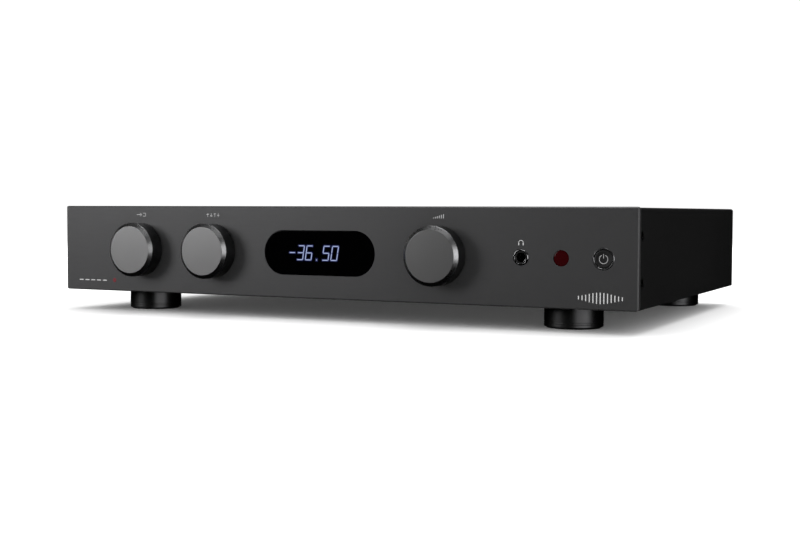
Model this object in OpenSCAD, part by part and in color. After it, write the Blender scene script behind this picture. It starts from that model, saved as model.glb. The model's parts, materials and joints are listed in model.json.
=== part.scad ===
// Slim integrated amplifier: a full-width case on four round feet, with three
// turned knobs, a display window, a headphone socket, a remote window and a
// power button on its front plate, and its sockets and terminals at the back.
//
// Row frame: +Z up, the front plate faces -Y, +X is to the right seen from the
// front. The origin is the centre of the bounding box, on the standing surface.
// Most modules are drawn in the case frame: x = 0 in the middle of the front
// plate, y = 0 on its front face, z = 0 at its lower edge.

/* [Case] */
// Width of the front plate
fascia_w = 445; // [430:1:460]
// Height of the front plate
fascia_h = 63.4; // [62:0.2:68]
// Thickness of the front plate
fascia_t = 4; // [3.6:0.2:5]
// Front face of the plate to the outside of the rear panel
body_d = 290; // [288:1:320]
// Step from the front plate down to the sheet-metal case, on every side
case_step = 0.5; // [0.2:0.1:1]
// Thickness of the folded steel sheet
sheet_t = 1.2; // [1:0.1:1.5]
// Outside radius of the cover's folded edges
fold_r = 2; // [1.6:0.1:3]

/* [Knobs] */
// Radius of a knob's body
knob_r = 19.5; // [17:0.5:20]
// Radius of a knob's flat front face
knob_face_r = 17; // [15:0.1:18]
// Knob front face to plate
knob_proj = 14; // [12:0.5:18]
// Length of the chamfer along the knob's axis
knob_chamfer = 2; // [1:0.1:2.4]
// Gap between a knob's skirt and the plate
knob_gap = 0.8; // [0.5:0.1:1.5]
// Height of the control centres above the plate's lower edge
control_z = 31.4; // [30:0.1:33]
// Distance of the source knob left of the middle
select_x = 151; // [145:1:160]
// Distance of the mode knob left of the middle
mode_x = 87; // [84:1:95]
// Distance of the volume knob right of the middle
volume_x = 90; // [80:1:100]
// Radius of a control shaft
shaft_r = 3; // [2.8:0.1:3.2]

/* [Front controls] */
// Width of the display window
window_w = 87; // [80:1:90]
// Height of the display window
window_h = 31; // [28:0.5:33]
// Headphone socket, right of the middle
jack_x = 147; // [140:0.5:150]
// Radius of the headphone socket's bore, for a 6.35 mm plug
jack_bore_r = 3.25; // [3.2:0.01:3.3]
// Remote window, right of the middle
ir_x = 173.5; // [170:0.5:176]
// Radius of the remote window
ir_r = 5; // [4:0.1:5.5]
// Power button, right of the middle
power_x = 200.5; // [195:0.5:205]
// Radius of the ring around the power button
power_r = 6.85; // [6.5:0.05:7.2]

/* [Feet] */
// Height of the front plate's lower edge above the ground
foot_h = 15; // [12:0.5:17]
// Radius of a foot
foot_r = 19.3; // [17:0.1:20]
// Front feet, left and right of the middle
foot_front_x = 169; // [160:1:180]
// Front feet behind the plate's front face
foot_front_y = 40; // [34:1:46]
// Rear feet, left and right of the middle
foot_rear_x = 181; // [165:1:190]
// Rear feet behind the plate's front face
foot_rear_y = 263; // [255:1:265]

/* [Rear panel] */
// Height of the terminals' centres above the plate's lower edge
terminal_z = 31.4; // [30:0.1:33]
// Mains inlet, left of the middle seen from the front
inlet_x = -185; // [-190:1:-180]
// Mains switch
switch_x = -146; // [-150:1:-142]
// First speaker terminal
post_x = -112; // [-114:1:-108]
// Spacing of a plus and minus terminal
post_pitch = 22; // [20:1:24]
// Extra gap between the two channels
post_channel_gap = 8; // [4:1:12]
// First column of phono sockets
phono_x = 14; // [10:1:20]
// Spacing of the phono columns
phono_pitch = 24; // [22:1:26]
// Vertical spacing of the phono sockets
phono_rise = 18; // [16:1:22]
// Radius of a 4 mm plug bore in a speaker terminal
banana_r = 2.03; // [2.01:0.01:2.05]
// Radius of the trigger socket's bore, for a 3.5 mm plug
trigger_r = 1.8; // [1.76:0.01:1.85]

/* [Inside] */
// Radius of the toroidal transformer
toroid_r = 52; // [48:1:54]
// Height of its winding
toroid_h = 42; // [36:1:46]
// Height of the circuit boards above the tray
board_lift = 8; // [6:1:10]
// Thickness of a circuit board
board_t = 1.6; // [1.2:0.2:2]
// Number of heatsink fins
fin_count = 24; // [12:1:30]

/* [Hidden] */
slip = 0.05;
post_end = body_d + 23.5;
front_y = -(post_end - knob_proj) / 2;
case_x = fascia_w / 2 - case_step;
inner_x = case_x - sheet_t;
case_lo = case_step;
case_hi = fascia_h - case_step;
floor_z = case_lo + sheet_t;
roof_z = case_hi - sheet_t;
frame_y = fascia_t + sheet_t;
rear_in = body_d - sheet_t;
front_board_y = frame_y + 6.5;
board_z = floor_z + board_lift;
board_top = board_z + board_t;
flange_d = 15;
nut_hole_r = 8;
bush_r = 4.5;
window_flange = 2;
foot_spots = [[-foot_front_x, foot_front_y], [foot_front_x, foot_front_y],
              [-foot_rear_x, foot_rear_y], [foot_rear_x, foot_rear_y]];
toroid_x = -150;
toroid_y = 122;
pad_t = 1.5;
toroid_z = floor_z + pad_t;
main_x = [-92, 100];
main_y = [44, 198];
input_x = [-4, 214];
input_y = [206, 284];
sink_x = [-88, 96];
sink_y = [78, 115];
sink_z = [board_top, 55];
side_screw_z = [16.7, 45.6];
side_screw_y = 9.7;
rear_tab_x = [-196, -8, 196];
rear_tab_low = 8;
rear_tab_high = 56;
csk_r = 2.9;
screw_r = 1.45;
fascia_fix_x = [-206, -30, 30, 212];
fascia_fix_z = [8, 55];
phono_cols = 6;
phono_low = terminal_z - phono_rise / 2;
optical_x = phono_x + phono_cols * phono_pitch + 6;
trigger_x = optical_x + 22;
post_xs = [for (i = [0 : 3]) post_x + i * post_pitch + (i > 1 ? post_channel_gap : 0)];
main_fix = [for (x = [main_x[0] + 6, main_x[1] - 6], y = [main_y[0] + 6, main_y[1] - 6]) [x, y]];
input_fix = [for (x = [input_x[0] + 6, input_x[1] - 6], y = [input_y[0] + 6, input_y[1] - 28]) [x, y]];
front_fix = [for (x = [-184, 132], z = [10, 54]) [x, z]];
front_board_x = [-190, 214];
front_board_z = [5, 59];
collar_t = 2;
base_t = 5;
collar_y = body_d + base_t + 0.2;
cap_y = collar_y + collar_t + 0.2;
stud_end = post_end - 1;
rocker_y = body_d - 3;
rocker_tilt = 8;
power_lip_y = frame_y + 0.3;
stem_end_y = power_lip_y + 2.5;

// ---- helpers -------------------------------------------------------------

// Moves the case frame to its place in the row frame
module in_case() translate([0, front_y, foot_h]) children();

// A flat outline in X and Z, from y0 back to y1
module slab(y0, y1) translate([0, y1, 0]) rotate([90, 0, 0]) linear_extrude(y1 - y0) children();

// A round bar along Y
module bar(x, z, y0, y1, r, sides = 48) {
    translate([x, y1, z]) rotate([90, 0, 0]) cylinder(h = y1 - y0, r = r, $fn = sides);
}

// A turned piece on a Y axis: the profile's second value counts forward from y
module turned(x, y, z) translate([x, y, z]) rotate([90, 0, 0]) rotate_extrude($fn = 96) children();

// A turned piece on a Y axis that faces the back: its profile counts backward from y
module turned_back(x, y, z) translate([x, y, z]) rotate([-90, 0, 0]) rotate_extrude($fn = 64) children();

// A block from its low corner to its high corner
module block(lo, hi) translate(lo) cube(hi - lo);

// A rectangle with round corners, centred
module round_rect(w, h, r) {
    square([w - 2 * r, h], center = true);
    square([w, h - 2 * r], center = true);
    for (sx = [-1, 1], sy = [-1, 1]) {
        translate([sx * (w / 2 - r), sy * (h / 2 - r)]) circle(r = r, $fn = 32);
    }
}

// A slot shape with round ends, long along X
module stadium(w, h) {
    square([w - h, h], center = true);
    for (s = [-1, 1]) translate([s * (w - h) / 2, 0]) circle(d = h, $fn = 96);
}

// A countersunk screw pointing down -Z, its head flush with z = 0
module csk_screw(len) {
    difference() {
        union() {
            translate([0, 0, -sheet_t]) cylinder(h = sheet_t, r1 = screw_r, r2 = csk_r, $fn = 32);
            translate([0, 0, -len]) cylinder(h = len - sheet_t / 2, r = screw_r, $fn = 32);
        }
        translate([0, 0, -0.8]) cylinder(h = 1, r = 1.15, $fn = 6);
    }
}

// The hole that the screw's head sits in, through one sheet
module csk_hole() {
    translate([0, 0, -sheet_t]) cylinder(h = sheet_t, r1 = screw_r + slip, r2 = csk_r + slip, $fn = 32);
    translate([0, 0, -4]) cylinder(h = 4, r = screw_r + slip, $fn = 32);
    cylinder(h = 1, r = csk_r + slip, $fn = 32);
}

// A point on the smooth curve from b to c, at share t of the way
function curve_point(a, b, c, d, t) =
    b + t * (c - a) / 2 + t * t * (2 * a - 5 * b + 4 * c - d) / 2 + t * t * t * (3 * b - a - 3 * c + d) / 2;

// A smooth path through the points, with a few steps in each gap
function smooth_path(p, steps) = [
    for (i = [0 : len(p) - 2], k = [0 : steps - 1])
        curve_point(p[max(i - 1, 0)], p[i], p[i + 1], p[min(i + 2, len(p) - 1)], k / steps),
    p[len(p) - 1]];

// The unit vector along v
function unit(v) = v / norm(v);

// A wire's tube along a smooth path; it never runs along the side vector
module lead(points, r, side) {
    ring = 8;
    path = smooth_path(points, 5);
    last = len(path) - 1;
    corners = [for (i = [0 : last]) let (
            run = unit(path[min(i + 1, last)] - path[max(i - 1, 0)]),
            u = unit(cross(run, side)),
            v = cross(run, u))
        for (k = [0 : ring - 1]) path[i] + r * (cos(k * 360 / ring) * u + sin(k * 360 / ring) * v)];
    walls = [for (i = [0 : last - 1], k = [0 : ring - 1])
        let (a = i * ring + k, b = i * ring + (k + 1) % ring) [a, a + ring, b + ring, b]];
    ends = [[for (k = [0 : ring - 1]) k], [for (k = [0 : ring - 1]) last * ring + ring - 1 - k]];
    polyhedron(points = corners, faces = concat(walls, ends));
}

// A hexagonal nut along Y around a bush
module nut(x, z, y0, y1, flats, bore) {
    difference() {
        bar(x, z, y0, y1, flats / 2 / cos(30), 6);
        bar(x, z, y0 - 1, y1 + 1, bore);
    }
}

// ---- case ----------------------------------------------------------------

module front_fascia() color("dimgray") in_case() {
    edge = 0.8;
    mid_z = fascia_h / 2;
    half = fascia_w / 2;
    difference() {
        intersection() {
            slab(0, fascia_t) translate([0, mid_z]) round_rect(fascia_w, fascia_h, 2);
            rotate([90, 0, 90]) translate([0, 0, -half]) linear_extrude(fascia_w)
                polygon([[edge, 0], [fascia_t, 0], [fascia_t, fascia_h], [edge, fascia_h],
                         [0, fascia_h - edge], [0, edge]]);
            linear_extrude(fascia_h)
                polygon([[edge - half, 0], [half - edge, 0], [half, edge], [half, fascia_t],
                         [-half, fascia_t], [-half, edge]]);
        }
        for (x = [-select_x, -mode_x, volume_x]) bar(x, control_z, -1, fascia_t + 1, nut_hole_r);
        slab(-1, fascia_t + 1) translate([0, control_z]) stadium(window_w, window_h);
        bar(jack_x, control_z, -1, fascia_t + 1, 5.2);
        bar(ir_x, control_z, -1, fascia_t + 1, ir_r + 0.1);
        bar(power_x, control_z, -1, fascia_t + 1, power_r + slip);
        for (x = fascia_fix_x, z = fascia_fix_z) bar(x, z, 1, fascia_t + 1, screw_r + slip, 32);
    }
}

module front_frame() color("lightslategray") in_case() {
    difference() {
        union() {
            block([-inner_x, fascia_t, floor_z], [inner_x, frame_y, roof_z]);
            for (s = [-1, 1]) {
                x = s > 0 ? inner_x - sheet_t : -inner_x;
                block([x, fascia_t, floor_z], [x + sheet_t, frame_y + flange_d, roof_z]);
            }
            block([-inner_x, fascia_t, floor_z], [inner_x, frame_y + 6, floor_z + sheet_t]);
            block([-inner_x, fascia_t, roof_z - sheet_t], [inner_x, frame_y + 6, roof_z]);
        }
        for (x = [-select_x, -mode_x, volume_x]) bar(x, control_z, 0, 9, bush_r + slip);
        slab(0, 9) translate([0, control_z]) stadium(window_w + 2 * window_flange + 0.4, window_h + 2 * window_flange + 0.4);
        bar(jack_x, control_z, 0, 9, 4.1);
        bar(ir_x, control_z, 0, 9, ir_r + 1.7);
        bar(power_x, control_z, 0, 9, power_r + 1.45);
        for (x = fascia_fix_x, z = fascia_fix_z) translate([x, frame_y, z]) rotate([-90, 0, 0]) csk_hole();
        for (z = side_screw_z) {
            translate([-230, side_screw_y, z]) rotate([0, 90, 0]) cylinder(h = 460, r = screw_r + slip, $fn = 32);
        }
    }
}

module chassis_tray() color("slategray") in_case() {
    side_lo = frame_y + flange_d + 2;
    difference() {
        union() {
            block([-inner_x, fascia_t, case_lo], [inner_x, rear_in, floor_z]);
            for (s = [-1, 1]) {
                x = s > 0 ? inner_x - sheet_t : -inner_x;
                block([x, side_lo, case_lo], [x + sheet_t, rear_in - 6, floor_z + 12]);
            }
            for (x = rear_tab_x) block([x - 8, rear_in - sheet_t, case_lo], [x + 8, rear_in, floor_z + 12]);
        }
        for (p = foot_spots) translate([p[0], p[1], -1]) cylinder(h = 6, r = 2.1, $fn = 32);
        translate([toroid_x, toroid_y, -1]) cylinder(h = 6, r = 3.1, $fn = 32);
        for (i = [0 : 15]) {
            block([-80 + i * 11, 60, -1], [-76 + i * 11, 94, 4]);
        }
        for (x = rear_tab_x) bar(x, rear_tab_low, rear_in - 4, rear_in + 1, screw_r + slip, 32);
    }
}

module top_cover() color("black") in_case() {
    difference() {
        union() {
            difference() {
                slab(fascia_t, body_d) {
                    translate([-case_x, case_lo]) square([2 * case_x, case_hi - case_lo - fold_r]);
                    translate([-case_x + fold_r, case_lo]) square([2 * (case_x - fold_r), case_hi - case_lo]);
                    for (s = [-1, 1]) translate([s * (case_x - fold_r), case_hi - fold_r]) circle(r = fold_r, $fn = 48);
                }
                slab(fascia_t - 1, body_d + 1) {
                    translate([-inner_x, -1]) square([2 * inner_x, roof_z + 1 - fold_r + sheet_t]);
                    translate([-case_x + fold_r, 0]) square([2 * (case_x - fold_r), roof_z]);
                    for (s = [-1, 1]) translate([s * (case_x - fold_r), case_hi - fold_r])
                        circle(r = fold_r - sheet_t, $fn = 48);
                }
            }
            for (x = rear_tab_x) block([x - 9, rear_in - sheet_t, rear_tab_high - 6], [x + 9, rear_in, case_hi - 0.4]);
        }
        for (z = side_screw_z, s = [-1, 1]) {
            translate([s * case_x, side_screw_y, z]) rotate([0, s * 90, 0]) csk_hole();
        }
        for (i = [0 : 25], y = [64, 110, 156]) {
            translate([-95 + i * 7.6, y + 20, case_hi - 4]) linear_extrude(6) rotate(90) stadium(38, 3);
        }
        for (x = rear_tab_x) bar(x, rear_tab_high, rear_in - 4, rear_in + 1, screw_r + slip, 32);
    }
}

module rear_panel() color("black") in_case() {
    difference() {
        block([-inner_x + slip, rear_in, floor_z - sheet_t], [inner_x - slip, body_d, roof_z - slip]);
        for (x = rear_tab_x, z = [rear_tab_low, rear_tab_high]) {
            translate([x, body_d, z]) rotate([-90, 0, 0]) csk_hole();
        }
        block([inlet_x - 14.1, rear_in - 1, 13.9], [inlet_x + 14.1, body_d + 1, 47.1]);
        block([switch_x - 6.6, rear_in - 1, terminal_z - 9.6], [switch_x + 6.6, body_d + 1, terminal_z + 9.6]);
        for (x = post_xs) bar(x, terminal_z, rear_in - 1, body_d + 1, 5.1);
        for (i = [0 : phono_cols - 1], j = [0, 1]) {
            bar(phono_x + i * phono_pitch, phono_low + j * phono_rise, rear_in - 1, body_d + 1, 5.3);
        }
        for (j = [0, 1]) translate([optical_x, 0, phono_low + j * phono_rise]) {
            block([-5.1, rear_in - 1, -5.1], [5.1, body_d + 1, 5.1]);
        }
        bar(trigger_x, terminal_z, rear_in - 1, body_d + 1, 4.1);
    }
}

module case_screws() color("#222222") in_case() {
    for (z = side_screw_z, s = [-1, 1]) {
        translate([s * case_x, side_screw_y, z]) rotate([0, s * 90, 0]) csk_screw(6);
    }
    for (x = rear_tab_x, z = [rear_tab_low, rear_tab_high]) {
        translate([x, body_d, z]) rotate([-90, 0, 0]) csk_screw(6);
    }
    for (x = fascia_fix_x, z = fascia_fix_z) {
        translate([x, frame_y, z]) rotate([-90, 0, 0]) csk_screw(4);
    }
}

// ---- feet ----------------------------------------------------------------

module foot(spot) color("#1a1a1a") in_case() translate([spot[0], spot[1], 0]) {
    rotate_extrude($fn = 96) difference() {
        polygon([[2.1, case_lo], [foot_r, case_lo], [foot_r, 1.2 - foot_h], [foot_r - 0.6, 0.8 - foot_h],
                 [18.1, 0.8 - foot_h], [18.1, 1.8 - foot_h], [9.6, 1.8 - foot_h], [9.6, 0.8 - foot_h],
                 [4.6, 0.8 - foot_h], [4.6, -5], [2.1, -5]]);
        for (z = [2.4, 3.8]) translate([foot_r - 0.35, z - foot_h]) square([1, 0.4]);
    }
}
module foot_front_left() foot(foot_spots[0]);
module foot_front_right() foot(foot_spots[1]);
module foot_rear_left() foot(foot_spots[2]);
module foot_rear_right() foot(foot_spots[3]);

module foot_pads() color("#303030") in_case() for (p = foot_spots) translate([p[0], p[1], -foot_h]) {
    rotate_extrude($fn = 96) polygon([[9.8, 0.4], [10.2, 0], [17.4, 0], [17.9, 0.4], [17.9, 1.8], [9.8, 1.8]]);
}

module foot_screws() color("silver") in_case() for (p = foot_spots) translate([p[0], p[1], 0]) {
    difference() {
        union() {
            translate([0, 0, -7.6]) cylinder(h = 2.6, r = 3.8, $fn = 48);
            translate([0, 0, -5.5]) cylinder(h = 12, r = 2, $fn = 48);
        }
        translate([0, 0, -8]) cylinder(h = 1.8, r = 1.5, $fn = 6);
    }
    translate([0, 0, floor_z]) difference() {
        cylinder(h = 3.2, r = 3.5 / cos(30), $fn = 6);
        translate([0, 0, -1]) cylinder(h = 6, r = 2.03, $fn = 48);
    }
}

// ---- front controls --------------------------------------------------------

module display_window() color("#050505") in_case() {
    slab(0.2, fascia_t + 0.1) translate([0, control_z]) stadium(window_w - 0.2, window_h - 0.2);
    slab(fascia_t, frame_y) translate([0, control_z]) stadium(window_w + 2 * window_flange, window_h + 2 * window_flange);
}

module display_module() color("midnightblue") in_case() {
    block([-40, frame_y + 0.4, control_z - 13], [40, frame_y + 2.4, control_z + 13]);
    block([-42, frame_y + 2.4, control_z - 15], [42, front_board_y, control_z + 15]);
}

module front_board() color("darkgreen") in_case() {
    difference() {
        block([front_board_x[0], front_board_y, front_board_z[0]],
              [front_board_x[1], front_board_y + board_t, front_board_z[1]]);
        block([jack_x - 7.5, front_board_y - 1, control_z - 7.5], [jack_x + 7.5, front_board_y + 3, control_z + 7.5]);
        for (p = front_fix) bar(p[0], p[1], front_board_y - 1, front_board_y + 3, 1.6, 32);
    }
}

module encoders() color("gray") in_case() for (x = [-select_x, -mode_x, volume_x]) {
    difference() {
        union() {
            block([x - 6.2, frame_y, control_z - 6.6], [x + 6.2, front_board_y, control_z + 6.6]);
            bar(x, control_z, 1.3, frame_y + 0.1, bush_r);
        }
        bar(x, control_z, 0, frame_y + 4, shaft_r + slip);
    }
}

module panel_nuts() color("silver") in_case() {
    for (x = [-select_x, -mode_x, volume_x]) nut(x, control_z, 1.8, fascia_t, 12, bush_r + 0.03);
    turned(jack_x, fascia_t, control_z) polygon([[4.03, 0], [5.1, 0], [5.1, 4.3], [4.7, 4.7], [4.03, 4.7]]);
}

module headphone_jack() color("silver") in_case() difference() {
    union() {
        block([jack_x - 6.5, frame_y, control_z - 7], [jack_x + 6.5, 36, control_z + 7]);
        bar(jack_x, control_z, -0.4, frame_y + 0.1, 4);
    }
    bar(jack_x, control_z, -1, 33, jack_bore_r);
    turned(jack_x, 0, control_z) polygon([[0, 0], [jack_bore_r, 0], [jack_bore_r + 0.4, 0.4], [jack_bore_r + 0.4, 1], [0, 1]]);
}

module ir_window() color("darkred") in_case() {
    bar(ir_x, control_z, 0.15, fascia_t + 0.1, ir_r, 64);
    bar(ir_x, control_z, fascia_t, frame_y, ir_r + 1.5, 64);
}

module ir_receiver() color("#202020") in_case() {
    block([ir_x - 3.5, frame_y + 3, control_z - 4], [ir_x + 3.5, front_board_y, control_z + 4]);
    translate([ir_x, frame_y + 3, control_z]) sphere(r = 2.4, $fn = 48);
}

module power_bezel() color("dimgray") in_case() {
    inner = power_r - 1.1;
    turned(power_x, frame_y, control_z)
        polygon([[inner, 0], [power_r + 1.35, 0], [power_r + 1.35, sheet_t], [power_r, sheet_t],
                 [power_r, frame_y], [power_r - 0.15, frame_y + 0.15], [inner + 0.25, frame_y + 0.15],
                 [inner, frame_y - 0.1]]);
}

module power_switch() color("#303030") in_case() {
    block([power_x - 3, front_board_y - 2.1, control_z - 3], [power_x + 3, front_board_y, control_z + 3]);
    bar(power_x, control_z, stem_end_y + 1, front_board_y - 2, 1.7);
}

module power_button() color("gray") in_case() {
    r = power_r - 1.25;
    turned(power_x, stem_end_y, control_z)
        polygon([[0, 0], [2, 0], [2, 1.5], [r + 0.9, 1.5], [r + 0.9, 2.5], [r, 2.5],
                 [r, stem_end_y - 0.3], [r - 0.3, stem_end_y - 0.05], [0, stem_end_y - 0.05]]);
}

// ---- knobs: the hub's flat keys the knob to its shaft ----------------------

module knob(x) color("gray") in_case() {
    bore = shaft_r + 0.03;
    hub = 7;
    wall = 2.5;
    floor_s = knob_proj - 3;
    turned(x, 0, control_z)
        polygon([[bore, knob_gap], [hub, knob_gap], [hub, floor_s], [knob_r - wall, floor_s],
                 [knob_r - wall, knob_gap], [knob_r, knob_gap], [knob_r, knob_proj - knob_chamfer],
                 [knob_face_r, knob_proj], [0, knob_proj], [0, floor_s], [bore, floor_s]]);
    intersection() {
        bar(x, control_z, -floor_s - 0.5, -knob_gap, bore + 0.2);
        block([x - 5, -knob_proj, control_z + 1.6], [x + 5, 0, control_z + 5]);
    }
}

module shaft(x) color("silver") in_case() difference() {
    bar(x, control_z, 0.5 - (knob_proj - 3), frame_y + 3.6, shaft_r);
    block([x - 5, -knob_proj, control_z + 1.5], [x + 5, 0.4, control_z + 5]);
}

module select_knob() knob(-select_x);
module select_shaft() shaft(-select_x);
module mode_knob() knob(-mode_x);
module mode_shaft() shaft(-mode_x);
module volume_knob() knob(volume_x);
module volume_shaft() shaft(volume_x);

// ---- boards and their fixings -----------------------------------------------

module flat_board(xr, yr, fix) difference() {
    block([xr[0], yr[0], board_z], [xr[1], yr[1], board_top]);
    for (p = fix) translate([p[0], p[1], 0]) cylinder(h = 30, r = 1.6, $fn = 32);
}
module main_board() color("darkgreen") in_case() flat_board(main_x, main_y, main_fix);
module input_board() color("darkgreen") in_case() flat_board(input_x, input_y, input_fix);

module standoffs() color("silver") in_case() {
    for (p = concat(main_fix, input_fix)) translate([p[0], p[1], floor_z]) difference() {
        cylinder(h = board_lift, r = 3.1, $fn = 6);
        translate([0, 0, -1]) cylinder(h = board_lift + 2, r = 1.53, $fn = 32);
    }
    for (p = front_fix) nut(p[0], p[1], frame_y, front_board_y, 5.4, 1.53);
}

module board_screws() color("silver") in_case() {
    for (p = concat(main_fix, input_fix)) translate([p[0], p[1], board_top]) {
        cylinder(h = 1.9, r = 2.7, $fn = 32);
        translate([0, 0, -6]) cylinder(h = 6.5, r = 1.5, $fn = 32);
    }
    for (p = front_fix) {
        bar(p[0], p[1], front_board_y + board_t, front_board_y + board_t + 1.9, 2.7, 32);
        bar(p[0], p[1], frame_y + 0.5, front_board_y + board_t + 0.5, 1.5, 32);
    }
}

// ---- power supply ---------------------------------------------------------

module at_toroid() in_case() translate([toroid_x, toroid_y, 0]) children();

module transformer() color("goldenrod") at_toroid() translate([0, 0, toroid_z + toroid_h / 2]) {
    rotate_extrude($fn = 96) translate([(toroid_r + 14) / 2, 0]) round_rect(toroid_r - 14, toroid_h, 6);
}

module transformer_pads() color("#252525") at_toroid() {
    for (z = [floor_z, toroid_z + toroid_h]) translate([0, 0, z]) difference() {
        cylinder(h = pad_t, r = toroid_r - 8, $fn = 64);
        translate([0, 0, -1]) cylinder(h = 5, r = 20, $fn = 48);
    }
}

module transformer_clamp() color("lightgray") at_toroid() translate([0, 0, toroid_z + toroid_h + pad_t]) {
    rotate_extrude($fn = 64) polygon([[3.2, -6], [12, -6], [16, 0], [38, 0], [38, 1.2], [15.4, 1.2], [11.4, -4.8], [3.2, -4.8]]);
}

module transformer_bolt() color("silver") at_toroid() {
    seat = toroid_z + toroid_h + pad_t - 4.8;
    translate([0, 0, case_lo - 3.6]) cylinder(h = 3.6, r = 5 / cos(30), $fn = 6);
    translate([0, 0, case_lo - 0.5]) cylinder(h = seat + 9 - case_lo, r = 3, $fn = 48);
    translate([0, 0, seat]) difference() {
        cylinder(h = 5, r = 5 / cos(30), $fn = 6);
        translate([0, 0, -1]) cylinder(h = 8, r = 3.03, $fn = 48);
    }
}

module reservoir_caps() color("#1c2b4a") in_case() {
    for (x = [-70, -36], y = [141, 175]) translate([x, y, board_top]) cylinder(h = 38, r = 15, $fn = 64);
}

module heatsink() color("silver") in_case() {
    pitch = (sink_x[1] - sink_x[0] - 2) / (fin_count - 1);
    translate([0, 0, sink_z[0]]) linear_extrude(sink_z[1] - sink_z[0]) {
        translate([sink_x[0], sink_y[1] - 5]) square([sink_x[1] - sink_x[0], 5]);
        for (i = [0 : fin_count - 1]) translate([sink_x[0] + i * pitch, sink_y[0]]) {
            square([2, sink_y[1] - sink_y[0]]);
        }
    }
}

module output_transistors() color("#151515") in_case() for (x = [-66, -36, 40, 70]) {
    block([x - 8, sink_y[1], board_top + 16], [x + 8, sink_y[1] + 5, board_top + 36]);
    for (i = [-1, 0, 1]) {
        block([x + i * 5 - 0.6, sink_y[1] + 2, board_top], [x + i * 5 + 0.6, sink_y[1] + 2.8, board_top + 16.5]);
    }
}

module speaker_relays() color("#e8e4d8") in_case() for (x = [6, 38, 70]) {
    block([x - 10, 150, board_top], [x + 10, 166, board_top + 15.5]);
}

// ---- rear sockets -----------------------------------------------------------

module phono_sockets() color("gold") in_case() for (i = [0 : phono_cols - 1], j = [0, 1]) {
    turned_back(phono_x + i * phono_pitch, rear_in - 12, phono_low + j * phono_rise)
        polygon([[0, 0], [5.2, 0], [5.2, 12 + sheet_t], [6.6, 12 + sheet_t], [6.6, 14.4], [4.15, 14.8],
                 [4.15, 21.8], [3.75, 22.2], [3.1, 22.2], [3.1, 19.5], [1.65, 19.5], [1.65, 11], [0, 11]]);
}

module optical_sockets() color("#101010") in_case() for (j = [0, 1]) {
    translate([optical_x, 0, phono_low + j * phono_rise]) difference() {
        union() {
            block([-5, 274, -5], [5, body_d + 0.1, 5]);
            block([-6, body_d, -6], [6, body_d + 1, 6]);
        }
        block([-3.6, 279, -3.6], [3.6, body_d + 2, 3.6]);
    }
}

module trigger_jack() color("silver") in_case() difference() {
    union() {
        block([trigger_x - 5, 274, terminal_z - 5], [trigger_x + 5, rear_in, terminal_z + 5]);
        bar(trigger_x, terminal_z, rear_in - 0.1, body_d + 0.1, 4);
        bar(trigger_x, terminal_z, body_d, body_d + 2.2, 5.5);
    }
    bar(trigger_x, terminal_z, 277, body_d + 3, trigger_r);
}

module speaker_posts() color("gold") in_case() for (x = post_xs) difference() {
    union() {
        bar(x, terminal_z, rear_in - 4, rear_in, 8);
        bar(x, terminal_z, rear_in - 0.1, body_d + 0.1, 5);
        bar(x, terminal_z, body_d, body_d + base_t, 8);
        bar(x, terminal_z, 276, stud_end, 3);
    }
    bar(x, terminal_z, stud_end - 13, stud_end + 1, banana_r);
    translate([x, body_d + base_t + 2.2, terminal_z - 10]) cylinder(h = 20, r = 1.5, $fn = 32);
}

module post_collar(i) color("gold") in_case() difference() {
    bar(post_xs[i], terminal_z, collar_y, collar_y + collar_t, 7);
    bar(post_xs[i], terminal_z, collar_y - 1, collar_y + collar_t + 1, 3.06);
}

module post_cap(i) color(i % 2 == 0 ? "#202020" : "darkred") in_case() difference() {
    bar(post_xs[i], terminal_z, cap_y, post_end, 7.6, 64);
    bar(post_xs[i], terminal_z, cap_y - 1, post_end + 1, 3.06);
    for (k = [0 : 11]) {
        a = k * 30;
        bar(post_xs[i] + 8.1 * cos(a), terminal_z + 8.1 * sin(a), cap_y + 3, post_end + 1, 1.3, 16);
    }
}

module post_collar_1() post_collar(0);
module post_collar_2() post_collar(1);
module post_collar_3() post_collar(2);
module post_collar_4() post_collar(3);
module post_cap_1() post_cap(0);
module post_cap_2() post_cap(1);
module post_cap_3() post_cap(2);
module post_cap_4() post_cap(3);

// ---- mains inlet, fuse drawer and switch ------------------------------------

module mains_inlet() color("#101010") in_case() translate([inlet_x, 0, 0]) {
    difference() {
        union() {
            block([-14, 266, 14], [14, body_d + 0.1, 47]);
            block([-16, body_d, 12], [16, body_d + 2, 49]);
        }
        slab(274, body_d + 3) translate([0, 36]) round_rect(25, 16.6, 2);
        block([-11.2, 268, 16.3], [11.2, body_d + 3, 23.7]);
    }
    for (p = [[-7, 34], [0, 38], [7, 34]]) block([p[0] - 1, 262, p[1] - 2], [p[0] + 1, 286.4, p[1] + 2]);
}

module fuse_drawer() color("#181818") in_case() translate([inlet_x, 0, 0]) {
    difference() {
        block([-11, 268.4, 16.5], [11, body_d + 2, 23.5]);
        block([-10.4, 271, 18], [10.4, 277.4, 25]);
        translate([0, body_d + 3.6, 10]) cylinder(h = 20, r = 3, $fn = 48);
    }
    translate([-10.2, 274.2, 20.6]) rotate([0, 90, 0]) cylinder(h = 20.4, r = 2.5, $fn = 32);
}

module switch_housing() color("#101010") in_case() translate([switch_x, 0, terminal_z]) difference() {
    union() {
        block([-6.5, 272, -9.5], [6.5, body_d + 0.1, 9.5]);
        block([-7.5, body_d, -10.5], [7.5, body_d + 1.5, 10.5]);
    }
    block([-5, rocker_y - 3.8, -7.9], [5, body_d + 3, 7.9]);
    translate([-5.8, rocker_y, 0]) rotate([0, 90, 0]) cylinder(h = 11.6, r = 1.25, $fn = 32);
}

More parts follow.
